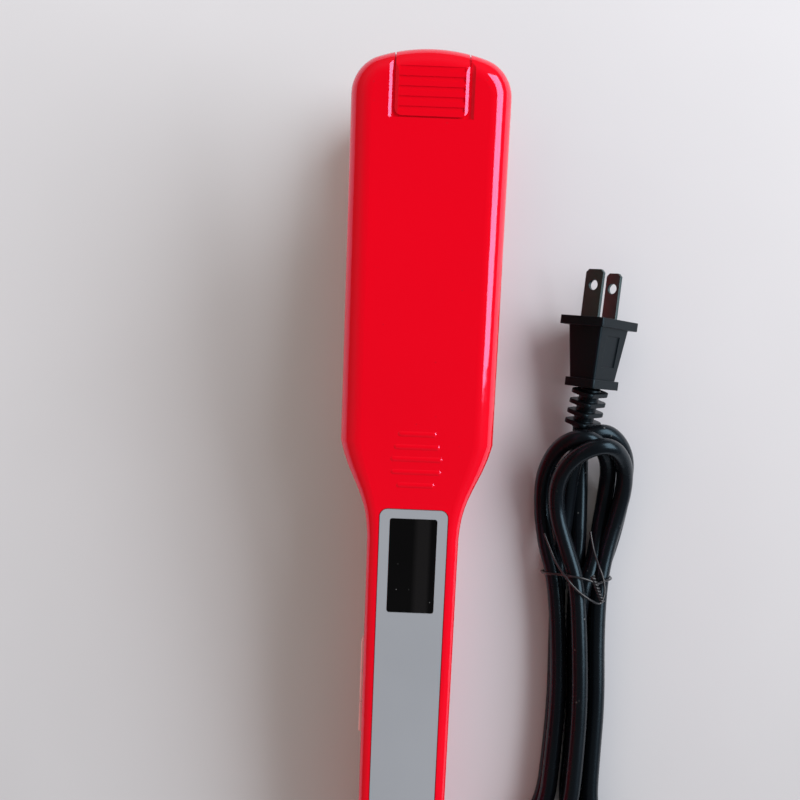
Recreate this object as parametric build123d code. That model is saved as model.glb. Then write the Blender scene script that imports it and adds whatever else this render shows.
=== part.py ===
from build123d import *
import os
from math import atan2, cos, hypot, pi, radians, sin, sqrt, tan

# Hair straightener with two hinged arms, floating plates and a mains cord, in millimetres.
# Arm frame: hinge axis along X through the origin, arm along +Y, closed plates meet at z = 0.
# Row frame: +Y towards the tips, lower arm flat on z = 0, upper arm sprung open.

os.makedirs("parts", exist_ok=True)

# ---- Driving dimensions -------------------------------------------------------------------

OPENING = 9.5  # degrees between the arms at rest
TIP = 291.5  # hinge axis to tip
HEIGHT = 23.0  # one arm, from the closed plates' meeting plane to its outer face
HEAD_HALF = 25.75  # half width of the head
HANDLE_HALF = 15.2  # half width of the handle at the hinge
THROAT_START = 131.0
THROAT_END = 164.0
HEAD_EDGE = 7.0  # rounding of the head's outer edge
HANDLE_EDGE = 3.5
NOSE_BOW = 56.0  # radius of the nose in plan
NOSE_CORNER = 12.5
WALL = 2.0
PARTING = 6.0  # shells end here, covers begin
COVER_FACE = 1.2  # closed covers stand this far off the meeting plane
HEAD_FACE = 2.2
RUN = 0.3  # clearance between bodies

BARREL = 20.0  # hinge barrel radius
KNUCKLE_HALF = 9.2  # lower arm's centre knuckle
EAR_INNER = 9.5  # upper arm's ears start here
PIN_R = 3.0
PIN_BORE_R = 3.05
CAP_R = 7.4

PLATE_HALF = 22.0
PLATE_START = 168.0
PLATE_END = 280.0
PLATE_FACE = 0.15
PLATE_TRAVEL = 1.0
FLANGE_Z = 4.15
FLANGE_T = 1.2

PANEL_HALF = 11.45
PANEL_START = 22.0
PANEL_END = 142.0
PANEL_T = 1.4
LENS_HALF = 7.95
LENS_START = 105.7
LENS_END = 138.8

BUTTON_PITCH = 11.7
BUTTON_LENGTH = 11.1
BUTTON_MIDDLE = 74.4
BUTTON_HEIGHT = 5.2
BUTTON_Z = 12.5

BOOT_LENGTH = 45.5
CORD_D = 6.4

HINGE_Y = -(TIP - BARREL - BOOT_LENGTH) / 2
HINGE_Z = HEIGHT

BODY_UPPER = Pos(0, HINGE_Y, HINGE_Z) * Rot(OPENING, 0, 0)
BODY_LOWER = Pos(0, HINGE_Y, HINGE_Z)


# ---- Helpers ------------------------------------------------------------------------------

def block(x0, x1, y0, y1, z0, z1):
    """A box between two corners."""
    size = (x1 - x0, y1 - y0, z1 - z0)
    return Pos((x0 + x1) / 2, (y0 + y1) / 2, (z0 + z1) / 2) * Box(*size)


def rounded_block(x0, x1, y0, y1, z0, z1, radius):
    """A box whose upright edges are rounded."""
    face = Rectangle(x1 - x0, y1 - y0)
    face = fillet(face.vertices(), radius)
    return Pos((x0 + x1) / 2, (y0 + y1) / 2, z0) * extrude(face, z1 - z0)


def post(x, y, z0, z1, radius):
    """An upright cylinder."""
    return Pos(x, y, (z0 + z1) / 2) * Cylinder(radius, z1 - z0)


def across(x0, x1, radius):
    """A cylinder on the hinge axis."""
    return Pos((x0 + x1) / 2, 0, 0) * Rot(0, 90, 0) * Cylinder(radius, x1 - x0)


def along(y0, y1, radius):
    """A cylinder along Y through the hinge axis."""
    return Pos(0, (y0 + y1) / 2, 0) * Rot(90, 0, 0) * Cylinder(radius, y1 - y0)


def both(shape):
    """A shape and its mirror image on the other side."""
    return shape + mirror(shape, Plane.YZ)


def turned_over(shape):
    """The same piece for the lower arm."""
    return mirror(shape, Plane.XY)


def export(shape, name, place=None):
    """Write one node's solids, placed in the row frame."""
    placed = place * shape if place is not None else shape
    solids = placed.solids()
    whole = solids[0] if len(solids) == 1 else Compound(children=list(solids))
    export_step(whole, f"parts/{name}.step")


# ---- The arm's outer form, grown or shrunk by an inset -----------------------------------

# distance from the hinge, half width and edge rounding
HANDLE_STATIONS = [(-24.0, HANDLE_HALF, HANDLE_EDGE), (THROAT_START, HANDLE_HALF + 0.4, HANDLE_EDGE)]
THROAT_STATIONS = [
    (THROAT_START, HANDLE_HALF + 0.4, HANDLE_EDGE),
    (136.5, 16.05, 3.7),
    (142.0, 17.2, 4.2),
    (147.5, 19.3, 5.0),
    (153.0, 21.9, 5.9),
    (158.5, 24.2, 6.6),
    (THROAT_END, HEAD_HALF, HEAD_EDGE),
]


def section(y, half, edge, inset):
    """One upright slice across the arm, with rounded outer corners."""
    top = HEIGHT - inset
    face = Rectangle(2 * (half - inset), top)
    outer = face.vertices().group_by(Axis.Y)[-1]
    face = fillet(outer, max(edge - inset, 1.4))
    return Plane(origin=(0, y, top / 2), x_dir=(1, 0, 0), z_dir=(0, -1, 0)) * face


def handle_form(inset):
    """Handle and throat, lofted through their stations."""
    handle = loft([section(y, half, edge, inset) for y, half, edge in HANDLE_STATIONS], ruled=True)
    throat = loft([section(y, half, edge, inset) for y, half, edge in THROAT_STATIONS])
    return handle + throat


def nose_plan(inset, start):
    """Plan of the head: straight sides, round corners and a bowed front."""
    half = HEAD_HALF - inset
    corner = NOSE_CORNER - inset
    bow = NOSE_BOW - inset
    bow_y = TIP - NOSE_BOW
    corner_x = HEAD_HALF - NOSE_CORNER
    corner_y = bow_y + sqrt((NOSE_BOW - NOSE_CORNER) ** 2 - corner_x**2)
    lean = atan2(corner_y - bow_y, corner_x)
    meet = (bow * cos(lean), bow_y + bow * sin(lean))
    middle = radians(45) / 2 + lean / 4
    turn = (corner_x + corner * cos(middle), corner_y + corner * sin(middle))
    with BuildSketch() as plan:
        with BuildLine():
            Line((-half, corner_y), (-half, start))
            Line((-half, start), (half, start))
            Line((half, start), (half, corner_y))
            ThreePointArc((half, corner_y), turn, meet)
            ThreePointArc(meet, (0, bow_y + bow), (-meet[0], meet[1]))
            ThreePointArc((-meet[0], meet[1]), (-turn[0], turn[1]), (-half, corner_y))
        make_face()
    return plan.sketch


def head_form(inset, plan_inset=None):
    """Head with its rounded outer edge."""
    top = HEIGHT - inset
    plan = nose_plan(inset if plan_inset is None else plan_inset, THROAT_END)
    solid = extrude(plan, top)
    rim = [e for e in solid.edges().group_by(Axis.Z)[-1] if e.center().Y > THROAT_END + 1]
    return fillet(rim, HEAD_EDGE - inset)


def side_profile(inset):
    """Side view: flat outer face that bends into the hinge barrel."""
    top = HEIGHT - inset
    barrel = BARREL - inset
    bend_y = 40.0
    bend_r = (bend_y**2 + top**2 - barrel**2) / (2 * (top - barrel))
    bend_z = top - bend_r
    reach = hypot(bend_y, bend_z)
    join = (-bend_y * barrel / reach, -bend_z * barrel / reach)
    lean = atan2(bend_y - join[0], join[1] - bend_z) / 2
    middle = (bend_y - bend_r * sin(lean), bend_z + bend_r * cos(lean))
    back = radians(140)
    with BuildSketch(Plane.YZ) as side:
        with BuildLine():
            Line((TIP + 5, 0), (TIP + 5, top))
            Line((TIP + 5, top), (bend_y, top))
            ThreePointArc((bend_y, top), middle, join)
            ThreePointArc(join, (barrel * cos(back), barrel * sin(back)), (-barrel, 0))
            Line((-barrel, 0), (TIP + 5, 0))
        make_face()
    return extrude(side.sketch, 40, both=True)


def arm_form(inset):
    """The whole arm's outer form, or its hollow when inset."""
    return (handle_form(inset) + head_form(inset)) & side_profile(inset)


OUTER = arm_form(0.0)
HOLLOW = arm_form(WALL)
SKIN = (handle_form(1.1) + head_form(1.1, 0.6)) & side_profile(1.1)  # floor of the nose recess


# ---- Shells ---------------------------------------------------------------------------------

SCREW_SPOTS = [(9.0, 148.0), (10.0, 36.0)]
POST_SPOTS = [182.0, 266.0]
PAD_HALF = 11.6
RECESS_HALF = 13.5
PAD_START = TIP - 21.9
PAD_LOW = 8.5
SPRING_Y = 29.0
SPRING_R = 3.6
SPRING_POCKET = 5.0


def long_prism(half_section):
    """Prism along the nose pad, from the right half of its section."""
    outline = half_section + [(-x, z) for x, z in reversed(half_section)]
    face = make_face(Polyline(*outline, close=True))
    side = Plane(origin=(0, PAD_START, 0), x_dir=(1, 0, 0), z_dir=(0, -1, 0))
    return side * extrude(face, -(TIP + 1 - PAD_START))


def shell():
    """Casing common to both arms: thin walls, screw posts and the nose recess."""
    hollow = HOLLOW & block(-40, 40, BARREL + 3, TIP, 0, HEIGHT)
    ceiling = block(-40, 40, BARREL, THROAT_START, HEIGHT - 3.2, HEIGHT)
    body = (OUTER & block(-40, 40, -40, TIP + 1, PARTING, HEIGHT)) - (hollow - ceiling)
    posts = [post(x, y, 7, HEIGHT - 1, 3.0) for x, y in SCREW_SPOTS]
    posts += [post(-x, y, 7, HEIGHT - 1, 3.0) for x, y in SCREW_SPOTS]
    posts += [post(0, y, 12, HEIGHT - 1, 4.0) for y in POST_SPOTS]
    body += (posts[0] + posts[1:]) & OUTER
    pilots = [post(x, y, 5, 16, 1.1) for x, y in SCREW_SPOTS]
    pilots += [post(-x, y, 5, 16, 1.1) for x, y in SCREW_SPOTS]
    body -= pilots
    floor_edge = (RECESS_HALF - 1.1, HEIGHT - 1.2)
    gutters = long_prism([floor_edge, (RECESS_HALF, HEIGHT - 0.65), (RECESS_HALF, 30)])
    slit = block(-PAD_HALF - 0.4, PAD_HALF + 0.4, PAD_START, TIP + 1, PAD_LOW - 1, 30)
    recess = (OUTER - SKIN) & (gutters + slit)
    seat = post(0, SPRING_Y, 13, HEIGHT - 2, SPRING_POCKET + 1.2)
    body = body + (seat & OUTER) - post(0, SPRING_Y, 5, 15, SPRING_POCKET)
    return body - recess


def ears():
    """Two discs of the upper arm that straddle the lower arm's knuckle."""
    ear = across(EAR_INNER, HANDLE_HALF, BARREL)
    ear = fillet(ear.edges().group_by(Axis.X)[-1], 2.0)
    ear -= across(EAR_INNER - 1, 20, PIN_BORE_R)
    ear -= across(11.9, 20, 4.8)
    ear -= across(13.8, 20, CAP_R + 0.1)
    return both(ear)


def panel_plan(grow):
    """Plan of the inlaid panel."""
    length = PANEL_END - PANEL_START
    face = Rectangle(2 * (PANEL_HALF + grow), length + 2 * grow)
    face = fillet(face.vertices(), 2.6 + grow)
    return Pos(0, (PANEL_START + PANEL_END) / 2, 0) * face


def side_piece(y, grow, x0, x1):
    """A block in the left wall, one button long."""
    half_l = BUTTON_LENGTH / 2 + grow
    half_h = BUTTON_HEIGHT / 2 + grow
    piece = block(x0, x1, y - half_l, y + half_l, BUTTON_Z - half_h, BUTTON_Z + half_h)
    return piece


BUTTON_SPOTS = [BUTTON_MIDDLE + step * BUTTON_PITCH for step in (1, 0, -1)]
RIB_R = 1.6
RIB_SINK = 1.32
RIBS = [(167.9, 11.0), (163.5, 13.5), (159.4, 15.5), (155.0, 15.0), (150.5, 11.0)]

upper_shell = shell() - across(-EAR_INNER, EAR_INNER, BARREL + RUN)
upper_shell += ears()
upper_shell -= across(-20, -11.9, 4.8) + across(11.9, 20, 4.8)
upper_shell -= across(-20, -13.8, CAP_R + 0.1) + across(13.8, 20, CAP_R + 0.1)
upper_shell -= across(-20, 20, PIN_BORE_R)
upper_shell -= Pos(0, 0, HEIGHT - PANEL_T - 0.1) * extrude(panel_plan(0.25), 5)
upper_shell -= block(-7.0, 7.0, LENS_START + 1, LENS_END - 1, 15, 25)
for spot in BUTTON_SPOTS:
    upper_shell -= side_piece(spot, 0.15, -18, -12)
for rib_y, rib_length in RIBS:
    rib = Pos(0, rib_y, HEIGHT - RIB_SINK) * Rot(0, 90, 0) * Cylinder(RIB_R, rib_length)
    ends = [Pos(side * rib_length / 2, rib_y, HEIGHT - RIB_SINK) * Sphere(RIB_R) for side in (-1, 1)]
    upper_shell += (rib + ends) & block(-30, 30, 140, 175, HEIGHT - 1, HEIGHT + 0.4)

lower_shell = turned_over(shell())
for side in (-1, 1):
    outer_zone = sorted((side * KNUCKLE_HALF, side * 20))
    lower_shell -= across(outer_zone[0], outer_zone[1], BARREL + RUN)
lower_shell += across(-KNUCKLE_HALF, KNUCKLE_HALF, BARREL)
lower_shell -= along(-14.6, 0, 6.8)
lower_shell -= along(-BARREL - 1, -14.5, 5.05)
lower_shell -= block(-5, 5, -4, BARREL + 5, -9, 4)
lower_shell -= across(-20, 20, PIN_R)


# ---- Inner covers ---------------------------------------------------------------------------

def cover():
    """Inner cover: closes the handle and frames the floating plate."""
    skin = OUTER & block(-40, 40, BARREL, TIP + 1, COVER_FACE, PARTING)
    skin -= block(-40, 40, THROAT_END - 6, TIP + 1, 0, HEAD_FACE)
    tray = HOLLOW & block(-40, 40, BARREL + 3, THROAT_END - 8, 3.0, HEIGHT)
    tray += HOLLOW & block(-40, 40, THROAT_END - 8, TIP, 4.0, HEIGHT)
    skin -= tray
    opening = 0.3
    x1 = PLATE_HALF + opening
    window = rounded_block(-x1, x1, PLATE_START - opening, PLATE_END + opening, -1, 8, 3.3)
    skin -= window
    bosses = [post(x, y, COVER_FACE, 6.9, 3.0) for x, y in SCREW_SPOTS]
    bosses += [post(-x, y, COVER_FACE, 6.9, 3.0) for x, y in SCREW_SPOTS]
    skin += (bosses[0] + bosses[1:]) & block(-40, 40, 0, TIP, COVER_FACE, 6.9) & OUTER
    for x, y in SCREW_SPOTS:
        skin -= both(post(x, y, 0, 8, 1.6) + post(x, y, 0, COVER_FACE + 2.2, 2.9))
    skin -= across(-20, 20, BARREL + RUN)
    skin -= post(0, SPRING_Y, -1, 8, SPRING_POCKET)
    return skin


def cover_screws():
    """Four pan-head screws that hold a cover to its shell."""
    screw = None
    for x, y in SCREW_SPOTS:
        one = post(x, y, COVER_FACE + 2.2, 15.5, 1.1)
        head = post(x, y, COVER_FACE + 0.5, COVER_FACE + 2.2, 2.7)
        slot = block(x - 1.6, x + 1.6, y - 0.3, y + 0.3, COVER_FACE, COVER_FACE + 1.2)
        cross = block(x - 0.3, x + 0.3, y - 1.6, y + 1.6, COVER_FACE, COVER_FACE + 1.2)
        one = one + head - slot - cross
        screw = both(one) if screw is None else screw + both(one)
    return screw


arm_cover = cover()
arm_screws = cover_screws()


# ---- Nose pads --------------------------------------------------------------------------------

PAD_GAP = 0.5
PAD_CORNER = 2.4
RIB_PITCH = 3.06


def nose_pad():
    """Ribbed finger pad that wraps over the nose."""
    start = PAD_START + PAD_GAP
    zone = block(-PAD_HALF, PAD_HALF, start, TIP + 1, PAD_LOW, 30)
    zone = fillet([e for e in zone.edges().filter_by(Axis.Z) if e.center().Y < TIP], PAD_CORNER)
    side_top = (PAD_HALF, HEIGHT - 0.5)
    inner_top = PAD_HALF - 1.0
    sloped = long_prism([(PAD_HALF, PAD_LOW), side_top, (inner_top, HEIGHT), (inner_top, 30)])
    pad = (OUTER - SKIN) & zone & sloped
    for step in range(6):
        y = start + 1.6 + step * RIB_PITCH
        pad -= block(-PAD_HALF + 1.2, PAD_HALF - 1.2, y, y + RIB_PITCH * 0.45, HEIGHT - 0.35, 30)
    return pad


arm_pad = nose_pad()


# ---- Floating plates, heaters, clamps, cushions ------------------------------------------------

def plate():
    """Coated plate with a retaining flange and heater rails."""
    face = rounded_block(-PLATE_HALF, PLATE_HALF, PLATE_START, PLATE_END, PLATE_FACE, FLANGE_Z, 3)
    long_edges = [e for e in face.edges().group_by(Axis.Z)[0] if e.length > 50]
    face = chamfer(long_edges, 1.0)
    top = FLANGE_Z + FLANGE_T
    reach = 0.9
    x1 = PLATE_HALF + reach
    flange = rounded_block(-x1, x1, PLATE_START - reach, PLATE_END + reach, FLANGE_Z, top, 8)
    rails = both(block(10.2, 12.0, PLATE_START + 8, PLATE_END - 8, top, top + 3.2))
    return face + flange + rails


HEATER_Z = FLANGE_Z + FLANGE_T
heater = rounded_block(-9.8, 9.8, PLATE_START + 20, PLATE_END - 20, HEATER_Z, HEATER_Z + 2.6, 1)
clamp_z = HEATER_Z + 2.6
clamp = block(-9.6, 9.6, 192, 256, clamp_z, clamp_z + 0.8)
clamp += block(-2.4, 2.4, 200, 248, clamp_z + 0.8, clamp_z + 1.8)
clamp -= block(-1.2, 1.2, 205, 243, clamp_z - 1, clamp_z + 4)
sensor = Pos(6.0, 224, clamp_z + 2.2) * Rot(90, 0, 0) * Cylinder(1.4, 12)
fuse = Pos(-6.0, 224, clamp_z + 2.4) * Rot(90, 0, 0) * Cylinder(1.6, 16)

cushion_top = 12.0
cushion_low = FLANGE_Z + FLANGE_T + PLATE_TRAVEL + 0.15
cushions = None
for cushion_y in (POST_SPOTS[0], POST_SPOTS[1]):
    one = post(0, cushion_y, cushion_low + 1, cushion_top, 3.8)
    one += post(0, cushion_y, cushion_low, cushion_low + 1, 2.2)
    cushions = one if cushions is None else cushions + one

arm_plate = plate()


# ---- Inside the upper arm ------------------------------------------------------------------------

panel = Pos(0, 0, HEIGHT - PANEL_T) * extrude(panel_plan(0.0), PANEL_T)
lens_hole = rounded_block(
    -LENS_HALF - 0.1, LENS_HALF + 0.1, LENS_START - 0.1, LENS_END + 0.1, 15, 25, 0.9
)
panel -= lens_hole
lens = rounded_block(
    -LENS_HALF, LENS_HALF, LENS_START, LENS_END, HEIGHT - PANEL_T, HEIGHT - 0.15, 0.8
)
module = rounded_block(-8.6, 8.6, LENS_START - 1, LENS_END + 1, 15.4, 19.7, 0.6)
board = rounded_block(-10.8, 12.4, 46, 144, 9.2, 10.8, 1.0)
board -= both(post(9.0, 148.0, 0, 20, 3.4))
parts_on_board = [(4, 60, 8, 10, 6), (-2, 76, 7, 7, 2), (7, 92, 6, 12, 5), (-3, 96, 5, 5, 3)]
for x, y, wide, long, tall in parts_on_board:
    board += block(x - wide / 2, x + wide / 2, y - long / 2, y + long / 2, 10.8, 10.8 + tall)

switches = None
for spot in BUTTON_SPOTS:
    one = block(-10.4, -7.4, spot - 3, spot + 3, 10.8, 15.4)
    one += block(-10.9, -10.4, spot - 1.5, spot + 1.5, 11.6, 13.6)
    switches = one if switches is None else switches + one


def button(spot):
    """A push button with a retaining flange and a stem that faces its switch."""
    wall_x = -HANDLE_HALF - 0.15
    cap = side_piece(spot, -0.12, wall_x - 1.1, -12.9)
    cap = fillet(cap.edges().group_by(Axis.X)[0], 0.6)
    flange = side_piece(spot, 0.2, -12.95, -12.4)
    shank = block(-12.5, -11.6, spot - 1.2, spot + 1.2, BUTTON_Z - 1, BUTTON_Z + 1)
    return cap + flange + shank


def wire_pair(y0, y1, x, z):
    """Two insulated leads, side by side."""
    lead = Pos(x, (y0 + y1) / 2, z) * Rot(90, 0, 0) * Cylinder(0.9, y1 - y0)
    return both(lead)


upper_leads = wire_pair(146, 176, 2.2, 13.0) + wire_pair(188, 236, 2.2, 13.0)
lower_leads = wire_pair(42, 176, 3.4, 13.0) + wire_pair(188, 236, 2.2, 13.0)


# ---- Hinge ------------------------------------------------------------------------------------------

screw = across(7.0, 12.1, PIN_R) + across(12.1, 13.5, 4.5)
screw -= block(13.0, 14, -3.2, 3.2, -0.5, 0.5)
hinge_screws = both(screw)
cap = across(13.85, HANDLE_HALF + 0.4, CAP_R)
cap = fillet(cap.edges().group_by(Axis.X)[-1], 0.5)
hinge_caps = both(cap)

spring_low = -14.6
lift = SPRING_Y * sin(radians(OPENING)) + 14.6 * cos(radians(OPENING))
spring_high = lift - 1.2
coil_height = spring_high - spring_low - 1.6
coil_path = Helix(pitch=coil_height / 6, height=coil_height, radius=SPRING_R)
coil_plane = Plane(origin=coil_path @ 0, z_dir=coil_path % 0)
spring = sweep(coil_plane * Circle(0.55), path=coil_path, is_frenet=True)
spring = Pos(0, SPRING_Y - 0.6, spring_low + 0.8) * spring


# ---- Cord swivel ------------------------------------------------------------------------------------

BOOT_START = -BARREL - 0.5
BOOT_END = -BARREL - BOOT_LENGTH
boot_profile = [
    (0, -12.0), (6.5, -12.0), (6.5, -14.3), (5.0, -14.3), (5.0, BOOT_START),
    (7.6, BOOT_START), (7.6, BOOT_START - 4.0), (6.6, BOOT_START - 6.0), (4.3, BOOT_END),
    (0, BOOT_END),
]
boot = revolve(make_face(Plane.XY * Polyline(*boot_profile, close=True)), Axis.Y)
for step in range(7):
    groove_y = BOOT_START - 8.6 - step * 4.6
    radius = 6.45 - 0.058 * (BOOT_START - 6.0 - groove_y)
    ring = along(groove_y - 1.3, groove_y, 12) - along(groove_y - 1.4, groove_y + 0.1, radius - 1.0)
    boot -= ring
slip_rings = along(-12.0, -8.4, 3.6) - along(-10.4, -10.0, 20) + along(-10.5, -9.9, 3.0)
brushes = both(block(3.75, 4.6, -9.8, -8.6, -3.0, 3.0))


# ---- Cord -------------------------------------------------------------------------------------------

BOOT_Y = HINGE_Y + BOOT_END

# free lead, from the swivel boot to the near end of the hank
LEAD = [
    (0.0, BOOT_Y, HINGE_Z),
    (0.0, BOOT_Y - 14.5, HINGE_Z),
    (6.5, BOOT_Y - 32.4, 19.0),
    (21.1, BOOT_Y - 44.6, 13.0),
    (40.7, BOOT_Y - 48.8, 7.5),
    (60.4, BOOT_Y - 45.3, 3.8),
    (76.6, BOOT_Y - 33.5, 3.5),
    (86.0, BOOT_Y - 15.8, 3.8),
    (88.8, BOOT_Y + 4.0, 5.5),
    (87.6, BOOT_Y + 24.0, 8.6),
]


def cord_radii(points, name):
    """Arc radius at each corner of a cord route, with a check print."""
    radii = []
    for before, here, after in zip(points, points[1:], points[2:]):
        first = Vector(here) - Vector(before)
        second = Vector(after) - Vector(here)
        turn = radians(first.get_angle(second))
        radii.append(0.45 * min(first.length, second.length) / tan(turn / 2))
    print(name, "radii in diameters", [round(r / CORD_D, 1) for r in radii])
    return radii


lead_path = FilletPolyline(*LEAD, radius=cord_radii(LEAD, "lead"))
lead_plane = Plane(origin=lead_path @ 0, z_dir=lead_path % 0)
cord_lead = sweep(lead_plane * Circle(CORD_D / 2), path=lead_path)
expected = pi * (CORD_D / 2) ** 2 * lead_path.length
print("lead length", round(lead_path.length, 1), "volume ratio", round(cord_lead.volume / expected, 4))

# hank: plan outline of the folded cord, wide loops at the plug end, neck under the tie
HANK_LOW = 0.4
HANK_HIGH = 19.4
LOOPS_HIGH = 27.5
TIE_Y = -7.0
HANK_RIGHT = [(82.0, 45.0), (87.2, 28.0), (81.8, 4.0), (78.4, -22.0), (79.6, -56.0), (77.5, -92.0)]
HANK_LEFT = [(54.0, -92.0), (57.4, -56.0), (56.5, -22.0), (52.4, 4.0), (49.0, 26.0), (54.0, 45.0)]
HANK_END = [(82.5, -109.0), (90.0, -126.0), (91.5, -146.0), (81.0, -162.0), (60.0, -168.0),
            (42.0, -160.0), (35.5, -142.0), (42.0, -122.0), (51.0, -107.0)]
LOOPS_TOP = (68.5, 52.6)
LOOPS_CREST = [(68.5, 51.4), (81.0, 43.5), (84.0, 34.0), (68.0, 28.0), (52.5, 33.0), (56.0, 44.0)]


def hank_block(outline, low, high):
    """A closed block over a smooth outline, its rims rounded."""
    solid = extrude(make_face(Spline(*outline, periodic=True)), high - low)
    rims = solid.edges().group_by(Axis.Z)
    return Pos(0, 0, low) * fillet([rims[0][0], rims[-1][0]], 3.0)


hank = hank_block([LOOPS_TOP] + HANK_RIGHT + HANK_END + HANK_LEFT, HANK_LOW, HANK_HIGH)
hank += hank_block(LOOPS_CREST, 12.0, LOOPS_HIGH)

# twist tie round the hank's neck, and its twisted ends
TIE_HALF = 0.7
tie_zone = block(40, 100, TIE_Y - TIE_HALF, TIE_Y + TIE_HALF, -1, 30)
tie_slice = (hank & tie_zone).bounding_box()
wire_tie = block(
    tie_slice.min.X - 1.0, tie_slice.max.X + 1.0, TIE_Y - TIE_HALF, TIE_Y + TIE_HALF, 0.05,
    HANK_HIGH + 1.0,
)
wire_tie = fillet(wire_tie.edges().filter_by(Axis.Y), 2.5) - hank
twist = Pos(75.0, TIE_Y - 5.0, HANK_HIGH + 1.4) * Rot(80, 0, -20) * Cylinder(1.3, 13)
wire_tie += twist - hank


# ---- Plug -------------------------------------------------------------------------------------------

PLUG_ROLL = 44.0
PLUG_PLACE = Pos(70.2, 94.6, 16.0) * Rot(0, 0, -4.4) * Rot(3.0, 0, 0) * Rot(0, PLUG_ROLL, 0)
FLANGE = (24.0, 3.4, 20.0)
GRIP_END = 23.6
COLLAR_LENGTH = 3.4
BLADE_T = 1.5
BLADE_LENGTH = 18.5
BLADE_SPACING = 12.7
WIDE_BLADE = 7.94
NARROW_BLADE = 6.35
BLADE_HOLE_R = 1.95
BLADE_HOLE_Y = 12.4

plug_body = Pos(0, -FLANGE[1] / 2, 0) * Box(*FLANGE)
plug_body = fillet(plug_body.edges().filter_by(Axis.Y), 0.8)
front = Plane(origin=(0, -FLANGE[1], 0), x_dir=(1, 0, 0), z_dir=(0, -1, 0))
rear = Plane(origin=(0, -GRIP_END, 0), x_dir=(1, 0, 0), z_dir=(0, -1, 0))
front_face = fillet(Rectangle(18.9, 15.4).vertices(), 1.2)
rear_face = fillet(Rectangle(14.8, 11.7).vertices(), 1.2)
plug_body += loft([front * front_face, rear * rear_face])
collar = Pos(0, -GRIP_END - COLLAR_LENGTH / 2, 0) * Box(17.3, COLLAR_LENGTH, 13.8)
plug_body += fillet(collar.edges().filter_by(Axis.Y), 1.0)
for side in (-1, 1):
    plug_body -= Pos(0, -12.5, side * 7.2) * Rot(side * 5.2, 0, 0) * Box(8.4, 12.0, 1.6)


def blade(x, width):
    """One contact blade with a bevelled end and a hole."""
    one = Pos(x, BLADE_LENGTH / 2, 0) * Box(BLADE_T, BLADE_LENGTH, width)
    tip = [e for e in one.edges().filter_by(Axis.X) if e.center().Y > BLADE_LENGTH - 1]
    one = chamfer(tip, 1.2)
    return one - Pos(x, BLADE_HOLE_Y, 0) * Rot(0, 90, 0) * Cylinder(BLADE_HOLE_R, 5)


wide_blade = blade(-BLADE_SPACING / 2, WIDE_BLADE)
narrow_blade = blade(BLADE_SPACING / 2, NARROW_BLADE)

RELIEF_LENGTH = 16.5
RELIEF_DROOP = 12.0
RELIEF_LEAN = 4.0
relief = along(-RELIEF_LENGTH, 0, 3.9)
for step in range(4):
    rib = Pos(0, -1.9 - step * 4.1, 0) * Box(13.0, 1.8, 10.2)
    relief += fillet(rib.edges().filter_by(Axis.Y), 2.4)
RELIEF_PLACE = PLUG_PLACE * Pos(0, -GRIP_END - COLLAR_LENGTH, 0) * Rot(0, -PLUG_ROLL, 0)
RELIEF_PLACE = RELIEF_PLACE * Rot(0, 0, -RELIEF_LEAN) * Rot(RELIEF_DROOP, 0, 0) * Rot(0, PLUG_ROLL, 0)


# ---- Write every node -------------------------------------------------------------------------------

def export_arm(prefix, shape_name, shape, place):
    """Write a piece that both arms share under its arm's name."""
    export(shape, f"{prefix}_{shape_name}", place)


SHARED = [
    ("cover", arm_cover), ("cover_screws", arm_screws), ("nose_pad", arm_pad),
    ("plate_cushions", cushions), ("plate", arm_plate), ("heater", heater),
    ("heater_clamp", clamp),
]
for shared_name, shared in SHARED:
    export_arm("upper", shared_name, shared, BODY_UPPER)
    export_arm("lower", shared_name, turned_over(shared), BODY_LOWER)

UPPER_ONLY = {
    "upper_shell": upper_shell,
    "upper_leads": upper_leads,
    "temperature_sensor": sensor,
    "display_panel": panel,
    "display_lens": lens,
    "display_module": module,
    "circuit_board": board,
    "tact_switches": switches,
    "hinge_caps": hinge_caps,
}
for upper_name, upper_piece in UPPER_ONLY.items():
    export(upper_piece, upper_name, BODY_UPPER)
for button_name, spot in zip(("up_button", "down_button", "power_button"), BUTTON_SPOTS):
    export(button(spot), button_name, BODY_UPPER)

LOWER_ONLY = {
    "lower_shell": lower_shell,
    "lower_leads": turned_over(lower_leads),
    "thermal_fuse": turned_over(fuse),
    "hinge_screws": hinge_screws,
    "hinge_spring": spring,
    "swivel_boot": boot,
    "slip_rings": slip_rings,
    "contact_brushes": brushes,
}
for lower_name, lower_piece in LOWER_ONLY.items():
    export(lower_piece, lower_name, BODY_LOWER)

export(cord_lead, "cord_lead")
export(hank, "cord_hank")
export(wire_tie, "wire_tie")
export(plug_body, "plug_body", PLUG_PLACE)
export(wide_blade, "plug_blade_wide", PLUG_PLACE)
export(narrow_blade, "plug_blade_narrow", PLUG_PLACE)
export(relief, "plug_strain_relief", RELIEF_PLACE)
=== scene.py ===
"""A wide-plate hair straightener and its mains cord, on a pale table."""
import math

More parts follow.
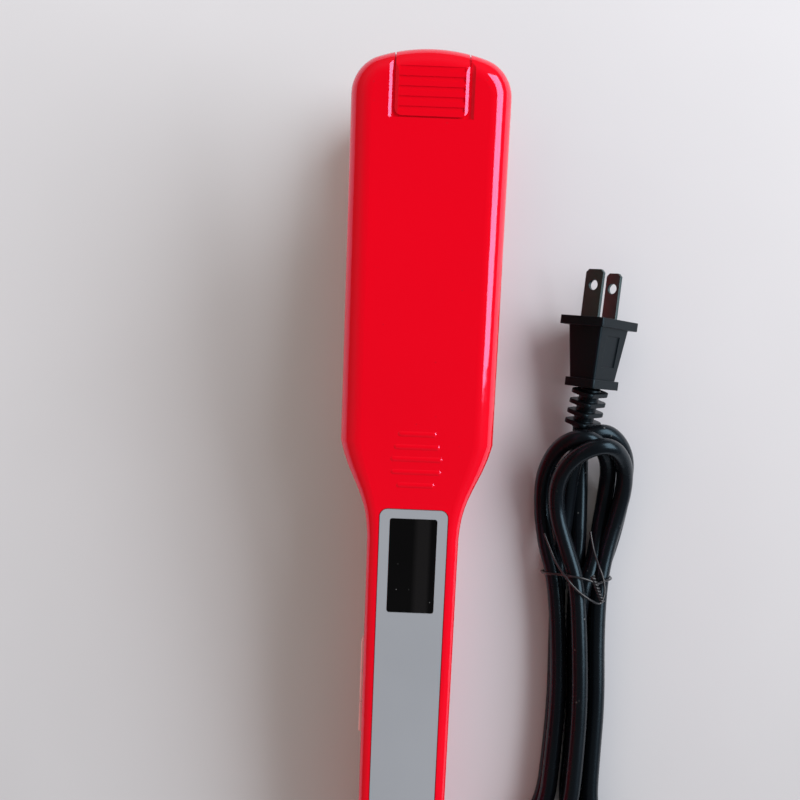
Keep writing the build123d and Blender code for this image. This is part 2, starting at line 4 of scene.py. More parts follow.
import bmesh
import bpy
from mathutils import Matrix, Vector


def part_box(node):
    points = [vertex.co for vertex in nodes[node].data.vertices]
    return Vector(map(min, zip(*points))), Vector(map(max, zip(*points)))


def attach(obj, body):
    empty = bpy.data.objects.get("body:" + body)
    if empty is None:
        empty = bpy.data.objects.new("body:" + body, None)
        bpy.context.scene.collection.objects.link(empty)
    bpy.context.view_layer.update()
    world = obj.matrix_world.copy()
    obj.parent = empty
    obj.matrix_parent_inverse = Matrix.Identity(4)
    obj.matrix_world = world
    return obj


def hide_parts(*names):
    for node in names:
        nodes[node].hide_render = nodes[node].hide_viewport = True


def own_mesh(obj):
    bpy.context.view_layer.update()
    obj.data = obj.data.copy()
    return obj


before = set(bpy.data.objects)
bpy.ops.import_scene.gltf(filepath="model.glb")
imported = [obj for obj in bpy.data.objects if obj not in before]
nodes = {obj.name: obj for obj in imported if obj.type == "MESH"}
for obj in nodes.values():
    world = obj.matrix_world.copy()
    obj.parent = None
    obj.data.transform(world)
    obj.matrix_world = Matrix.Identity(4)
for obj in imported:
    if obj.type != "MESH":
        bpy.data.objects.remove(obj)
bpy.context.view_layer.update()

# ---- Viewpoint --------------------------------------------------------------------------------
# The straightener is looked at from straight above its open arms, from about
# forty centimetres, a little turned, so its handle runs out of view.
viewer = bpy.data.cameras.new("viewer")
viewer.lens = 45.0
viewer.sensor_width = 36.0
viewer.clip_start = 0.01
viewpoint = bpy.data.objects.new("viewer", viewer)
viewpoint.location = (-0.0062, 0.060, 0.405)
viewpoint.rotation_euler = (0.0, 0.0, math.radians(2.27))
bpy.context.collection.objects.link(viewpoint)
bpy.context.scene.camera = viewpoint
bpy.context.scene.view_settings.view_transform = "Standard"


# ---- Two arm shells ---------------------------------------------------------------------------
# Each arm is a thin shell of injection-moulded plastic, sprayed with gloss red
# and clear lacquer. The upper one carries the display and the throat ribs.
def srgb(red, green, blue):
    """A colour given in 0-255 steps, as the linear light values that paint needs."""
    steps = [channel / 255.0 for channel in (red, green, blue)]
    linear = [s / 12.92 if s <= 0.04045 else ((s + 0.055) / 1.055) ** 2.4 for s in steps]
    return (*linear, 1.0)


def new_group(name, inputs, outputs):
    """An empty shader node group with float or colour sockets, and its two end nodes."""
    group = bpy.data.node_groups.new(name, "ShaderNodeTree")
    for label, value in inputs.items():
        kind = "NodeSocketColor" if isinstance(value, tuple) else "NodeSocketFloat"
        socket = group.interface.new_socket(label, in_out="INPUT", socket_type=kind)
        socket.default_value = value
    for label, kind in outputs.items():
        group.interface.new_socket(label, in_out="OUTPUT", socket_type=kind)
    start = group.nodes.new("NodeGroupInput")
    end = group.nodes.new("NodeGroupOutput")
    return group, start, end


def add_node(tree, kind, **settings):
    """A node of a kind in a tree, with attributes or input values set by name."""
    node = tree.nodes.new("ShaderNode" + kind)
    for key, value in settings.items():
        if hasattr(node, key):
            setattr(node, key, value)
        else:
            node.inputs[key.replace("_", " ")].default_value = value
    return node


# slow drift of a moulded or painted colour over the surface
drift, drift_in, drift_out = new_group(
    "colour_drift",
    {"Color": (0.5, 0.5, 0.5, 1.0), "Scale": 30.0, "Amount": 0.05},
    {"Color": "NodeSocketColor"},
)
where = add_node(drift, "TexCoord")
clouds = add_node(drift, "TexNoise", Detail=3.0, Roughness=0.55)
swing = add_node(drift, "MapRange", From_Min=0.3, From_Max=0.7)
low = add_node(drift, "Math", operation="SUBTRACT")
low.inputs[0].default_value = 1.0
high = add_node(drift, "Math", operation="ADD")
high.inputs[0].default_value = 1.0
tint = add_node(drift, "VectorMath", operation="SCALE")
drift.links.new(where.outputs["Object"], clouds.inputs["Vector"])
drift.links.new(drift_in.outputs["Scale"], clouds.inputs["Scale"])
drift.links.new(clouds.outputs["Fac"], swing.inputs["Value"])
drift.links.new(drift_in.outputs["Amount"], low.inputs[1])
drift.links.new(drift_in.outputs["Amount"], high.inputs[1])
drift.links.new(low.outputs[0], swing.inputs["To Min"])
drift.links.new(high.outputs[0], swing.inputs["To Max"])
drift.links.new(drift_in.outputs["Color"], tint.inputs[0])
drift.links.new(swing.outputs["Result"], tint.inputs["Scale"])
drift.links.new(tint.outputs["Vector"], drift_out.inputs["Color"])

# smudges and rub marks, as a roughness that changes over the surface
smudge, smudge_in, smudge_out = new_group(
    "smudges",
    {"Roughness": 0.3, "Amount": 0.08, "Scale": 60.0},
    {"Roughness": "NodeSocketFloat"},
)
where = add_node(smudge, "TexCoord")
blotches = add_node(smudge, "TexNoise", Detail=5.0, Roughness=0.65, Distortion=0.4)
centred = add_node(smudge, "Math", operation="SUBTRACT")
centred.inputs[1].default_value = 0.5
scaled = add_node(smudge, "Math", operation="MULTIPLY")
total = add_node(smudge, "Math", operation="ADD", use_clamp=True)
smudge.links.new(where.outputs["Object"], blotches.inputs["Vector"])
smudge.links.new(smudge_in.outputs["Scale"], blotches.inputs["Scale"])
smudge.links.new(blotches.outputs["Fac"], centred.inputs[0])
smudge.links.new(centred.outputs[0], scaled.inputs[0])
smudge.links.new(smudge_in.outputs["Amount"], scaled.inputs[1])
smudge.links.new(scaled.outputs[0], total.inputs[0])
smudge.links.new(smudge_in.outputs["Roughness"], total.inputs[1])
smudge.links.new(total.outputs[0], smudge_out.inputs["Roughness"])

# leathery grain of a spark-eroded mould, as a height
grain, grain_in, grain_out = new_group(
    "mould_grain", {"Scale": 1500.0, "Mix": 0.5}, {"Height": "NodeSocketFloat"}
)
where = add_node(grain, "TexCoord")
cells = add_node(grain, "TexVoronoi", feature="SMOOTH_F1", Smoothness=0.6)
mist = add_node(grain, "TexNoise", Detail=2.0)
blend = add_node(grain, "Mix")
grain.links.new(where.outputs["Object"], cells.inputs["Vector"])
grain.links.new(where.outputs["Object"], mist.inputs["Vector"])
grain.links.new(grain_in.outputs["Scale"], cells.inputs["Scale"])
grain.links.new(grain_in.outputs["Scale"], mist.inputs["Scale"])
grain.links.new(grain_in.outputs["Mix"], blend.inputs[0])
grain.links.new(cells.outputs["Distance"], blend.inputs[2])
grain.links.new(mist.outputs["Fac"], blend.inputs[3])
grain.links.new(blend.outputs[0], grain_out.inputs["Height"])

# specks of lint and dust, as a colour over the piece's own
specks, specks_in, specks_out = new_group(
    "dust_specks",
    {"Color": (0.5, 0.5, 0.5, 1.0), "Dust": (0.6, 0.6, 0.6, 1.0), "Scale": 400.0, "Amount": 0.2},
    {"Color": "NodeSocketColor", "Mask": "NodeSocketFloat"},
)
where = add_node(specks, "TexCoord")
motes = add_node(specks, "TexVoronoi", feature="F1", Randomness=1.0)
sparse = add_node(specks, "TexNoise", Scale=90.0, Detail=2.0)
dot = add_node(specks, "MapRange", From_Min=0.05, From_Max=0.12, To_Min=1.0, To_Max=0.0)
few = add_node(specks, "MapRange", From_Min=0.58, From_Max=0.66)
both_masks = add_node(specks, "Math", operation="MULTIPLY")
strength = add_node(specks, "Math", operation="MULTIPLY", use_clamp=True)
over = add_node(specks, "Mix", data_type="RGBA")
specks.links.new(where.outputs["Object"], motes.inputs["Vector"])
specks.links.new(where.outputs["Object"], sparse.inputs["Vector"])
specks.links.new(specks_in.outputs["Scale"], motes.inputs["Scale"])
specks.links.new(motes.outputs["Distance"], dot.inputs["Value"])
specks.links.new(sparse.outputs["Fac"], few.inputs["Value"])
specks.links.new(dot.outputs["Result"], both_masks.inputs[0])
specks.links.new(few.outputs["Result"], both_masks.inputs[1])
specks.links.new(both_masks.outputs[0], strength.inputs[0])
specks.links.new(specks_in.outputs["Amount"], strength.inputs[1])
specks.links.new(strength.outputs[0], over.inputs["Factor"])
specks.links.new(specks_in.outputs["Color"], over.inputs[6])
specks.links.new(specks_in.outputs["Dust"], over.inputs[7])
specks.links.new(over.outputs[2], specks_out.inputs["Color"])
specks.links.new(strength.outputs[0], specks_out.inputs["Mask"])


def finish_of(name, colour, roughness, drift_scale=30.0, drift_amount=0.05, smudge_amount=0.06,
              smudge_scale=60.0, grain_scale=0.0, grain_depth=0.0, grain_mix=0.5,
              dust=0.0, dust_colour=(0.5, 0.5, 0.5, 1.0), dust_scale=400.0, **constants):
    """A material from its colour and roughness, with drift, smudges, grain and dust put in."""
    material = bpy.data.materials.new(name)
    material.use_nodes = True
    tree = material.node_tree
    surface = tree.nodes["Principled BSDF"]
    for key, value in constants.items():
        surface.inputs[key.replace("_", " ")].default_value = value
    coloured = tree.nodes.new("ShaderNodeGroup")
    coloured.node_tree = drift
    coloured.inputs["Color"].default_value = colour
    coloured.inputs["Scale"].default_value = drift_scale
    coloured.inputs["Amount"].default_value = drift_amount
    last_colour = coloured.outputs["Color"]
    if dust:
        dusty = tree.nodes.new("ShaderNodeGroup")
        dusty.node_tree = specks
        dusty.inputs["Dust"].default_value = dust_colour
        dusty.inputs["Scale"].default_value = dust_scale
        dusty.inputs["Amount"].default_value = dust
        tree.links.new(last_colour, dusty.inputs["Color"])
        last_colour = dusty.outputs["Color"]
    tree.links.new(last_colour, surface.inputs["Base Color"])
    rubbed = tree.nodes.new("ShaderNodeGroup")
    rubbed.node_tree = smudge
    rubbed.inputs["Roughness"].default_value = roughness
    rubbed.inputs["Amount"].default_value = smudge_amount
    rubbed.inputs["Scale"].default_value = smudge_scale
    tree.links.new(rubbed.outputs["Roughness"], surface.inputs["Roughness"])
    if grain_scale:
        textured = tree.nodes.new("ShaderNodeGroup")
        textured.node_tree = grain
        textured.inputs["Scale"].default_value = grain_scale
        textured.inputs["Mix"].default_value = grain_mix
        bump = add_node(tree, "Bump", Strength=1.0, Distance=grain_depth)
        tree.links.new(textured.outputs["Height"], bump.inputs["Height"])
        tree.links.new(bump.outputs["Normal"], surface.inputs["Normal"])
    return material


def dressed(node_name, finish):
    """A frame piece that keeps its own shape and takes a finish."""
    piece = nodes[node_name]
    for place in piece.material_slots:
        place.material = finish
    if not piece.material_slots:
        piece.data.materials.append(finish)
    return piece


gloss_red = finish_of(
    "gloss_red", (0.83, 0.0, 0.009, 1.0), 0.07, drift_scale=14.0, drift_amount=0.02,
    smudge_amount=0.05, grain_scale=120.0, grain_depth=0.00006, grain_mix=1.0,
    dust=0.25, dust_colour=(0.30, 0.02, 0.03, 1.0), dust_scale=330.0,
    Specular_IOR_Level=0.9, Specular_Tint=(0.9, 0.50, 1.0, 1.0),
    Coat_Weight=0.15, Coat_Roughness=0.03,
)
dressed("lower_shell", gloss_red)
dressed("upper_shell", gloss_red)


# ---- Inner covers -----------------------------------------------------------------------------
# Flat black heat-resistant mouldings that close the shells on their inner side,
# spark-textured, each held by four small cross-head screws.
textured_black = finish_of(
    "textured_black", srgb(26, 26, 28), 0.48, drift_amount=0.08, smudge_amount=0.12,
    grain_scale=2100.0, grain_depth=0.00003, dust=0.3, dust_scale=300.0,
)
zinc = finish_of(
    "zinc_screws", srgb(168, 168, 172), 0.32, drift_scale=400.0, drift_amount=0.12,
    smudge_amount=0.15, smudge_scale=900.0, Metallic=1.0,
)
dressed("lower_cover", textured_black)
dressed("upper_cover", textured_black)
dressed("lower_cover_screws", zinc)
dressed("upper_cover_screws", zinc)


# ---- Heating plates ---------------------------------------------------------------------------
# Aluminium plates with a smooth dark ceramic coating, floating on silicone
# cushions; a ceramic heater, spring clamp, sensor and fuse lie behind each.
coated = finish_of(
    "plate_coating", srgb(62, 60, 64), 0.26, drift_scale=18.0, drift_amount=0.10,
    smudge_amount=0.16, smudge_scale=35.0, grain_scale=5200.0, grain_depth=0.000004,
    Metallic=0.55, Coat_Weight=0.2, Coat_Roughness=0.15,
)
silicone = finish_of("cushion_silicone", srgb(214, 206, 196), 0.55, drift_amount=0.06)
ceramic = finish_of("heater_ceramic", srgb(226, 222, 212), 0.6, drift_amount=0.08)
spring_steel = finish_of(
    "spring_steel", srgb(150, 150, 154), 0.3, drift_amount=0.1, smudge_amount=0.12, Metallic=1.0,
)
sleeve = finish_of("glass_sleeve", srgb(196, 150, 92), 0.4, drift_amount=0.1)
lead_sheath = finish_of("lead_sheath", srgb(236, 236, 230), 0.5, drift_amount=0.05)
for arm in ("lower", "upper"):
    dressed(arm + "_plate", coated)
    dressed(arm + "_plate_cushions", silicone)
    dressed(arm + "_heater", ceramic)
    dressed(arm + "_heater_clamp", spring_steel)
    dressed(arm + "_leads", lead_sheath)
dressed("temperature_sensor", sleeve)
dressed("thermal_fuse", sleeve)


# ---- Nose pads --------------------------------------------------------------------------------
# Ribbed finger rests of the same red, pressed into a shallow recess that wraps
# over each nose, so the hot end can be steadied with the other hand.
dressed("lower_nose_pad", gloss_red)
dressed("upper_nose_pad", gloss_red)


# ---- Display panel ----------------------------------------------------------------------------
# A long inlay of satin silver-grey film on a thin plate, with a gloss black
# window over the temperature display, dark while the power is off.
silver_film = finish_of(
    "silver_film", srgb(172, 176, 184), 0.36, drift_scale=16.0, drift_amount=0.035,
    smudge_amount=0.06, grain_scale=3800.0, grain_depth=0.000004, Metallic=0.25,
)
window_black = finish_of(
    "window_black", srgb(4, 4, 5), 0.07, drift_scale=40.0, drift_amount=0.15,
    smudge_amount=0.05, dust=0.5, dust_scale=520.0,
)
# the display behind the tinted window shows through it as a slightly paler upright band
band, band_in, band_out = new_group(
    "window_band", {"Color": (0.0, 0.0, 0.0, 1.0), "Band": (0.01, 0.01, 0.01, 1.0)},
    {"Color": "NodeSocketColor"},
)
where = add_node(band, "TexCoord")
across = add_node(band, "SeparateXYZ")
left_edge = add_node(band, "MapRange", From_Min=0.50, From_Max=0.62)
right_edge = add_node(band, "MapRange", From_Min=0.82, From_Max=0.90, To_Min=1.0, To_Max=0.0)
inside = add_node(band, "Math", operation="MULTIPLY")
shown = add_node(band, "Mix", data_type="RGBA")
band.links.new(where.outputs["Generated"], across.inputs[0])
band.links.new(across.outputs["X"], left_edge.inputs["Value"])
band.links.new(across.outputs["X"], right_edge.inputs["Value"])
band.links.new(left_edge.outputs["Result"], inside.inputs[0])
band.links.new(right_edge.outputs["Result"], inside.inputs[1])
band.links.new(inside.outputs[0], shown.inputs["Factor"])
band.links.new(band_in.outputs["Color"], shown.inputs[6])
band.links.new(band_in.outputs["Band"], shown.inputs[7])
band.links.new(shown.outputs[2], band_out.inputs["Color"])
banded = window_black.node_tree.nodes.new("ShaderNodeGroup")
banded.node_tree = band
banded.inputs["Band"].default_value = srgb(22, 21, 22)
tinted = window_black.node_tree.nodes["Principled BSDF"].inputs["Base Color"]
window_black.node_tree.links.new(tinted.links[0].from_socket, banded.inputs["Color"])
window_black.node_tree.links.new(banded.outputs["Color"], tinted)
display_frame = finish_of("display_frame", srgb(150, 152, 148), 0.45)
dressed("display_panel", silver_film)
dressed("display_lens", window_black)
dressed("display_module", display_frame)


# ---- Circuit board and buttons ----------------------------------------------------------------
# Three pale rose push buttons stand in the left wall of the handle, over small
# switches on the edge of a green circuit board.
def softened(node_name, body, finish, radius=0.0003, steps=2, crease=28.0):
    """A fine copy of a frame piece with its sharp edges broken, which stands for that piece."""
    weld = 0.000002
    fine = bmesh.new()
    fine.from_mesh(nodes[node_name].data)
    bmesh.ops.remove_doubles(fine, verts=fine.verts, dist=weld)
    bmesh.ops.dissolve_limit(
        fine, angle_limit=math.radians(0.4), verts=fine.verts, edges=fine.edges,
    )
    bmesh.ops.dissolve_degenerate(fine, dist=weld, edges=fine.edges)
    for face in fine.faces:
        face.smooth = True
    mesh = bpy.data.meshes.new(node_name + "_fine")
    fine.to_mesh(mesh)
    fine.free()
    piece = bpy.data.objects.new(node_name + "_fine", mesh)
    bpy.context.collection.objects.link(piece)
    rounding = piece.modifiers.new("broken_edges", "BEVEL")
    rounding.width = radius
    rounding.segments = steps
    rounding.limit_method = "ANGLE"
    rounding.angle_limit = math.radians(crease)
    rounding.miter_outer = "MITER_ARC"
    rounding.use_clamp_overlap = True
    even = piece.modifiers.new("even_shading", "WEIGHTED_NORMAL")
    even.keep_sharp = False
    even.weight = 60
    mesh.materials.append(finish)
    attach(piece, body)
    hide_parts(node_name)
    return piece


solder_mask = finish_of("solder_mask", srgb(24, 92, 52), 0.35, drift_scale=500.0, drift_amount=0.2)
switch_black = finish_of("switch_black", srgb(30, 30, 32), 0.45)
# painted reflection: the buttons' pale rose is partly their own colour and partly the sheen of the
# pale table seen in their caps
button_rose_sheen = finish_of(
    "button_rose_sheen", srgb(240, 172, 178), 0.12, drift_scale=200.0, drift_amount=0.06,
    smudge_amount=0.05,
)
dressed("circuit_board", solder_mask)
dressed("tact_switches", switch_black)
for press in ("up_button", "down_button", "power_button"):
    softened(press, press, button_rose_sheen, 0.0003, 3)


# ---- Hinge ------------------------------------------------------------------------------------
# Two shouldered screws under bright chromed caps carry the arms, and a coil
# spring between the handles pushes them apart.
chrome = finish_of(
    "chrome", srgb(214, 215, 220), 0.09, drift_amount=0.03, smudge_amount=0.08, Metallic=1.0,
)
softened("hinge_caps", "upper_arm", chrome, 0.0005, 3)
dressed("hinge_screws", spring_steel)


def laid_curve(name, points, thickness, resolution=12, round_steps=8):
    """A round length of cord or wire on one smooth line through its control points."""
    line = bpy.data.curves.new(name, "CURVE")
    line.dimensions = "3D"
    line.resolution_u = resolution
    line.bevel_depth = thickness / 2.0
    line.bevel_resolution = round_steps
    line.use_fill_caps = True
    spline = line.splines.new("NURBS")
    spline.points.add(len(points) - 1)
    for control, place in zip(spline.points, points):
        control.co = (*place, 1.0)
    spline.order_u = 3
    spline.use_endpoint_u = True
    piece = bpy.data.objects.new(name, line)
    bpy.context.collection.objects.link(piece)
    return piece


coil_low, coil_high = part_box("hinge_spring")
coil_wire = 0.0010
coil_x = (coil_low[0] + coil_high[0]) / 2.0
coil_y = (coil_low[1] + coil_high[1]) / 2.0
coil_r = (coil_high[0] - coil_low[0]) / 2.0 - coil_wire / 2.0
coil_turns = 9
coil_steps = 12
closed_ends = 0.055
round_off = 1.035
coil_points = []
coil_rise = coil_high[2] - coil_low[2] - coil_wire
for step in range(coil_turns * coil_steps + 1):
    share = step / (coil_turns * coil_steps)
    turn = math.tau * step / coil_steps
    eased = share - closed_ends * math.sin(math.tau * share)
    coil_points.append((
        coil_x + round_off * coil_r * math.cos(turn),
        coil_y + round_off * coil_r * math.sin(turn),
        coil_low[2] + coil_wire / 2.0 + coil_rise * eased,
    ))
coil_line = laid_curve("coil_line", coil_points, coil_wire, 4, 4)
coil_mesh = bpy.data.meshes.new_from_object(coil_line)
bpy.data.objects.remove(coil_line)
coil = bpy.data.objects.new("opening_spring", coil_mesh)
bpy.context.collection.objects.link(coil)
coil_mesh.materials.clear()
coil_mesh.materials.append(spring_steel)
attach(coil, "lower_arm")
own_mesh(coil)
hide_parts("hinge_spring")


# ---- Cord swivel ------------------------------------------------------------------------------
# A tapered boot of soft black vinyl turns in a socket behind the hinge, with
# brass slip rings inside it that run on spring contacts.
boot_vinyl = finish_of(
    "boot_vinyl", srgb(22, 23, 25), 0.42, drift_amount=0.1, smudge_amount=0.12,
    grain_scale=1500.0, grain_depth=0.00003, dust=0.3, dust_scale=300.0,
)
brass = finish_of("contact_brass", srgb(214, 178, 104), 0.25, drift_amount=0.08, Metallic=1.0)
softened("swivel_boot", "cord_swivel", boot_vinyl, 0.0003)
dressed("slip_rings", brass)
dressed("contact_brushes", brass)


# ---- Mains cord -------------------------------------------------------------------------------
# Two cores in one round sheath of soft black vinyl, 6.4 mm thick and 1.8 m
# long, folded into a hank of three flattened loops and laid flat on the table.
def millimetres(points):
    """Points given in millimetres, in metres."""
    return [tuple(value / 1000.0 for value in point) for point in points]


cord_d = 0.0064
hinge_y = -0.113
hinge_z = 0.023
boot_reach = 0.0655
boot_end = (0.0, hinge_y - boot_reach, hinge_z)
boot_y = boot_end[1] * 1000.0
lead = [
    (0, boot_y, 23), (0, boot_y - 14.5, 23), (6.5, boot_y - 32.4, 19), (21.1, boot_y - 44.6, 13),
    (40.7, boot_y - 48.8, 7.5), (60.4, boot_y - 45.3, 3.8), (76.6, boot_y - 33.5, 3.5),
    (86.0, boot_y - 15.8, 3.8), (88.8, boot_y + 4.0, 5.5), (87.6, boot_y + 24.0, 8.6),
]
first_loop = [
    (87.2, -139, 9.9), (85.0, -125, 9.9), (79.0, -111, 9.8), (74.6, -97, 9.7), (75.2, -78, 9.7),
    (76.2, -56, 9.7), (75.0, -30, 9.7), (75.4, -9, 9.7), (77.8, 4, 8.8), (81.2, 17, 9.3),
    (83.4, 30, 12.5), (80.8, 41, 20.5), (72.6, 46.8, 28.4), (61.6, 42.2, 26.2), (55.8, 32.0, 18.2),
    (56.4, 19, 13.6), (60.9, 5, 14.6), (65.3, -8, 16.0), (67.2, -30, 16.1), (68.4, -56, 16.1),
    (67.4, -80, 16.1), (66.0, -97, 16.1),
]
first_fold = [
    (58, -111, 16.2), (46, -124, 16.2), (41.5, -139, 16.2), (48.5, -153.5, 15.2),
    (59.5, -158, 12.8), (71, -155, 10.6), (79.0, -141, 9.9), (77.5, -125, 9.8), (70.5, -111, 9.8),
    (66.1, -97, 9.7),
]
second_loop = [
    (67.6, -80, 9.7), (68.6, -56, 9.7), (67.4, -30, 9.7), (68.6, -12, 9.8), (73.4, -1, 7.6),
    (75.6, 12, 4.2), (77.4, 27, 5.5), (76.6, 38.0, 13.5), (71.5, 46.2, 22.0), (63.2, 49.2, 24.0),
    (55.6, 44.4, 17.0), (51.6, 33, 9.0), (52.0, 19, 5.0), (53.8, 5, 8.0), (57.6, -7, 9.8),
    (60.0, -30, 9.7), (60.9, -56, 9.7), (59.4, -80, 9.7), (58.0, -97, 9.7),
]
second_fold = [
    (51, -112, 9.8), (41, -127, 9.8), (38.0, -144, 9.8), (45, -160, 9.3), (61, -166.5, 7.4),
    (78, -160.5, 5.0), (86.5, -143, 3.6), (85.0, -126, 3.4), (78.5, -112, 3.4), (74.2, -97, 3.4),
]
third_loop = [
    (75.0, -78, 3.4), (76.4, -56, 3.4), (74.8, -30, 3.4), (75.4, -9, 3.4), (80.0, 4, 3.4),
    (83.0, 17, 3.4), (84.8, 29, 4.4), (84.2, 42, 10.0), (76.0, 51.2, 16.5), (66.8, 49.6, 18.0),
    (62.4, 39, 14.0), (62.2, 26, 7.5), (61.6, 12, 4.2), (59.8, -2, 3.4), (60.2, -30, 3.4),
    (60.6, -56, 3.4), (59.2, -80, 3.4), (57.6, -97, 3.4),
]
third_fold = [
    (50, -112, 3.4), (42.5, -126, 3.4), (40.5, -142, 3.4), (48.5, -156, 3.4), (60, -160, 3.4),
    (71.5, -156, 3.4), (79.5, -142, 3.4), (78, -126, 3.4), (70.5, -112, 3.4), (66.4, -97, 3.4),
]
to_the_plug = [
    (67.8, -80, 3.4), (68.6, -56, 3.4), (67.4, -30, 3.4), (67.2, -8, 3.4), (67.6, 10, 3.4),
    (67.4, 25, 3.5), (66.8, 38, 4.8), (66.0, 46.9, 8.0), (65.6, 51.9, 9.9),
]
cord_route = lead + first_loop + first_fold + second_loop + second_fold
cord_route += third_loop + third_fold + to_the_plug
cord = laid_curve("mains_cord", millimetres(cord_route), cord_d)
vinyl = finish_of(
    "black_vinyl", srgb(12, 14, 18), 0.27, drift_amount=0.12, smudge_amount=0.10,
    grain_scale=700.0, grain_depth=0.00002, dust=0.25, dust_scale=260.0,
    Specular_IOR_Level=0.4, Specular_Tint=(0.55, 0.82, 1.0, 1.0),
)
cord.data.materials.append(vinyl)
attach(cord, "lower_arm")
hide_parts("cord_lead", "cord_hank")


# ---- Wire tie ---------------------------------------------------------------------------------
# A short length of black coated wire, taken once round the neck of the hank
# and twisted on top, its cut ends left pointing where they sprang.
tie_d = 0.0009
tie_black = finish_of("tie_black", srgb(34, 34, 38), 0.28, drift_amount=0.2, Coat_Weight=0.4)
tie_round = laid_curve("tie_round", millimetres([
    (72.0, -7.6, 19.2), (68.2, -6.0, 20.1), (62.6, -5.2, 20.2), (58.6, -5.4, 15.4),
    (54.3, -5.8, 12.6), (52.6, -6.0, 8.4), (53.2, -6.3, 2.6), (57.2, -6.6, 0.55),
    (66.0, -6.8, 0.5), (76.4, -7.0, 0.55), (80.2, -7.2, 2.6), (80.4, -7.2, 9.0),
    (78.6, -7.2, 13.0), (75.6, -7.6, 14.8), (72.6, -8.2, 18.4),
]), tie_d, 10, 5)
left_tail = laid_curve("tie_tail_left", millimetres([
    (52.5, 9.9, 12.2), (54.8, 4.1, 13.4), (57.3, -1.5, 15.4), (60.5, -6.0, 19.9),
    (64.2, -10.1, 20.6), (68.9, -13.5, 20.2), (73.9, -16.3, 17.4), (75.1, -15.4, 16.9),
]), tie_d, 10, 5)
right_tail = laid_curve("tie_tail_right", millimetres([
    (71.1, 10.9, 9.6), (71.8, 5.6, 11.2), (73.0, 1.0, 13.4), (74.0, -2.3, 15.4),
    (75.2, -5.3, 16.4), (76.1, -9.3, 16.6), (76.0, -13.2, 16.8), (75.0, -15.4, 17.2),
]), tie_d, 10, 5)
twist_from = Vector((0.0706, -0.0050, 0.0196))
twist_to = Vector((0.0752, -0.0152, 0.0168))
twist_turns = 4
twist_steps = 8
twist_r = 0.00062
twist_line = (twist_to - twist_from).normalized()
twist_side = twist_line.cross(Vector((0, 0, 1))).normalized()
twist_up = twist_side.cross(twist_line)
tie_wires = [tie_round, left_tail, right_tail]
for strand in (0, 1):
    strand_points = []
    for step in range(twist_turns * twist_steps + 1):
        turn = math.tau * step / twist_steps + math.pi * strand
        centre = twist_from.lerp(twist_to, step / (twist_turns * twist_steps))
        offset = twist_side * math.cos(turn) + twist_up * math.sin(turn)
        strand_points.append(tuple(centre + offset * twist_r))
    tie_wires.append(laid_curve(f"tie_twist_{strand + 1}", strand_points, tie_d, 4, 4))
for wire in tie_wires:
    wire.data.materials.append(tie_black)
    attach(wire, "lower_arm")
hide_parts("wire_tie")


# ---- Mains plug -------------------------------------------------------------------------------
# A polarised two-blade plug of moulded black vinyl: wide flange, tapered grip
# with a finger recess, ribbed strain relief, and nickel-plated brass blades.
moulded = finish_of(
    "moulded_vinyl", srgb(8, 10, 13), 0.36, drift_amount=0.1, smudge_amount=0.12,
    grain_scale=1700.0, grain_depth=0.00002, dust=0.15, dust_scale=280.0,
    Specular_IOR_Level=0.34, Specular_Tint=(0.55, 0.82, 1.0, 1.0),
)
nickel = finish_of(
    "nickel_plate", srgb(90, 106, 108), 0.34, drift_scale=120.0, drift_amount=0.08,
    smudge_amount=0.14, smudge_scale=500.0, Metallic=1.0,
)
plug_pieces = [
    softened("plug_body", "lower_arm", moulded, 0.00045, 3),
    softened("plug_strain_relief", "lower_arm", moulded, 0.0003, 2),
    softened("plug_blade_wide", "lower_arm", nickel, 0.00022, 2),
    softened("plug_blade_narrow", "lower_arm", nickel, 0.00022, 2),
]


# ---- Table ------------------------------------------------------------------------------------
# A pale laminate table top, wiped clean, wide enough to fill the view: a thin
# satin sheet pressed on board, a little uneven in tone.
table = bmesh.new()
table_half = 1.6
bmesh.ops.create_grid(table, x_segments=4, y_segments=4, size=table_half)
table_mesh = bpy.data.meshes.new("table")
table.to_mesh(table_mesh)
table.free()
table_top = bpy.data.objects.new("table", table_mesh)
bpy.context.collection.objects.link(table_top)
laminate = finish_of(
    "pale_laminate", srgb(216, 215, 219), 0.55, drift_scale=9.0, drift_amount=0.015,
)
# painted shade: the laminate is toned a little darker towards the front and right, standing in for
# the lesser light that reaches there
painted_shade, painted_shade_in, painted_shade_out = new_group(
    "painted_front_shade", {"Color": (0.7, 0.7, 0.7, 1.0)}, {"Color": "NodeSocketColor"},
)
where = add_node(painted_shade, "TexCoord")
spot = add_node(painted_shade, "SeparateXYZ")
deep = add_node(
    painted_shade, "MapRange", From_Min=-0.11, From_Max=0.22, To_Min=0.81, To_Max=1.02,
)
wide = add_node(
    painted_shade, "MapRange", From_Min=-0.17, From_Max=0.16, To_Min=1.04, To_Max=0.97,
)
both_ways = add_node(painted_shade, "Math", operation="MULTIPLY")
toned = add_node(painted_shade, "VectorMath", operation="SCALE")
painted_shade.links.new(where.outputs["Object"], spot.inputs[0])
painted_shade.links.new(spot.outputs["Y"], deep.inputs["Value"])
painted_shade.links.new(spot.outputs["X"], wide.inputs["Value"])
painted_shade.links.new(deep.outputs["Result"], both_ways.inputs[0])
painted_shade.links.new(wide.outputs["Result"], both_ways.inputs[1])
painted_shade.links.new(painted_shade_in.outputs["Color"], toned.inputs[0])
painted_shade.links.new(both_ways.outputs[0], toned.inputs["Scale"])
painted_shade.links.new(toned.outputs["Vector"], painted_shade_out.inputs["Color"])
# the painted shade is laid over the laminate's own colour
painted_fade = laminate.node_tree.nodes.new("ShaderNodeGroup")
painted_fade.node_tree = painted_shade
plain = laminate.node_tree.nodes["Principled BSDF"].inputs["Base Color"]
laminate.node_tree.links.new(plain.links[0].from_socket, painted_fade.inputs["Color"])
laminate.node_tree.links.new(painted_fade.outputs["Color"], plain)
table_mesh.materials.append(laminate)


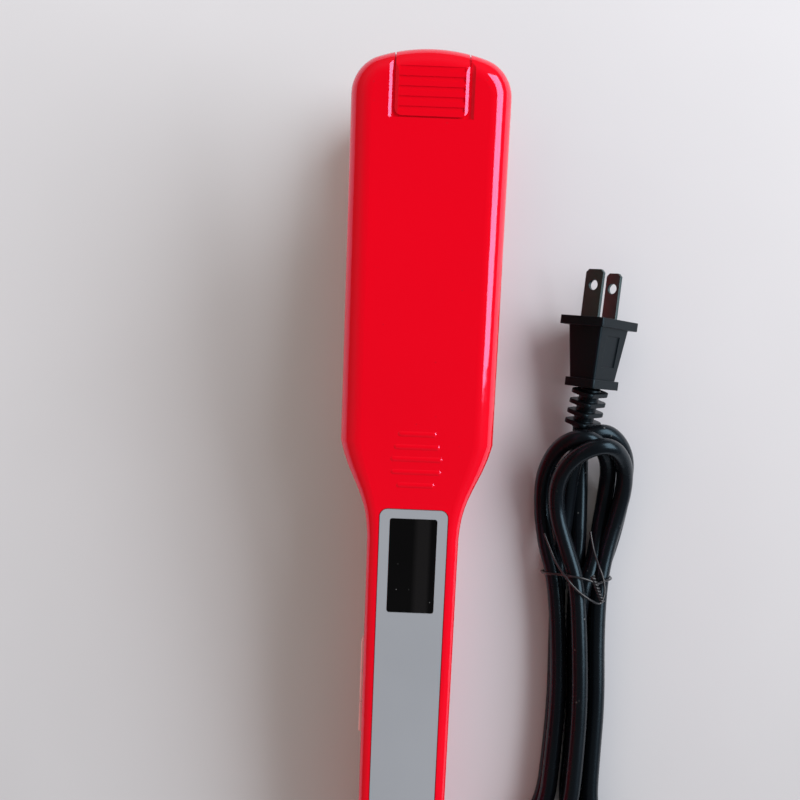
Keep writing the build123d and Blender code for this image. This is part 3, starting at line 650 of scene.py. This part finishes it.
# ---- Light ------------------------------------------------------------------------------------
# One large soft window to the right and beyond the noses, and a dim room
# round it, warm on the left and cool on the right.
window_place = Vector((1.25, 0.45, 1.12))
window_aim = Vector((0.0, 0.02, 0.0))
window_light = bpy.data.lights.new("window", "AREA")
window_light.shape = "RECTANGLE"
window_light.size = 1.75
window_light.size_y = 1.0
window_light.energy = 31.5
window_light.color = (0.94, 0.97, 1.0)
window = bpy.data.objects.new("window", window_light)
window.location = window_place
window.rotation_euler = (window_aim - window_place).to_track_quat("-Z", "Y").to_euler()
bpy.context.collection.objects.link(window)
room = bpy.data.worlds.new("room")
bpy.context.scene.world = room
room.use_nodes = True
sky = room.node_tree
where = add_node(sky, "TexCoord")
split = add_node(sky, "SeparateXYZ")
sky.links.new(where.outputs["Generated"], split.inputs[0])
height_band = add_node(sky, "ValToRGB")
height_band.color_ramp.elements[0].position = 0.0
height_band.color_ramp.elements[0].color = (0.60, 0.60, 0.62, 1.0)
height_band.color_ramp.elements[1].position = 1.0
height_band.color_ramp.elements[1].color = (0.30, 0.30, 0.31, 1.0)
middle = height_band.color_ramp.elements.new(0.6)
middle.color = (0.95, 0.95, 0.97, 1.0)
sky.links.new(split.outputs["Z"], height_band.inputs[0])
side_band = add_node(sky, "MapRange", From_Min=-1.0, From_Max=1.0)
sky.links.new(split.outputs["X"], side_band.inputs["Value"])
side_colour = add_node(sky, "ValToRGB")
side_colour.color_ramp.elements[0].color = (1.22, 0.99, 0.72, 1.0)
side_colour.color_ramp.elements[1].color = (0.78, 0.93, 1.08, 1.0)
sky.links.new(side_band.outputs["Result"], side_colour.inputs[0])
front_band = add_node(sky, "MapRange", From_Min=-1.0, From_Max=1.0, To_Min=0.74, To_Max=1.22)
sky.links.new(split.outputs["Y"], front_band.inputs["Value"])
mixed = add_node(sky, "VectorMath", operation="MULTIPLY")
sky.links.new(height_band.outputs["Color"], mixed.inputs[0])
sky.links.new(side_colour.outputs["Color"], mixed.inputs[1])
shaded = add_node(sky, "VectorMath", operation="SCALE")
sky.links.new(mixed.outputs["Vector"], shaded.inputs[0])
sky.links.new(front_band.outputs["Result"], shaded.inputs["Scale"])
glow = sky.nodes["Background"]
sky.links.new(shaded.outputs["Vector"], glow.inputs["Color"])
glow.inputs["Strength"].default_value = 0.86
# gloss sees a dimmer room than matt surfaces do, as it does under a dark ceiling
dim = add_node(sky, "Background", Strength=0.16)
sky.links.new(shaded.outputs["Vector"], dim.inputs["Color"])
seen_by = add_node(sky, "LightPath")
choice = add_node(sky, "MixShader")
sky.links.new(seen_by.outputs["Is Glossy Ray"], choice.inputs[0])
sky.links.new(glow.outputs[0], choice.inputs[1])
sky.links.new(dim.outputs[0], choice.inputs[2])
sky.links.new(choice.outputs[0], sky.nodes["World Output"].inputs["Surface"])
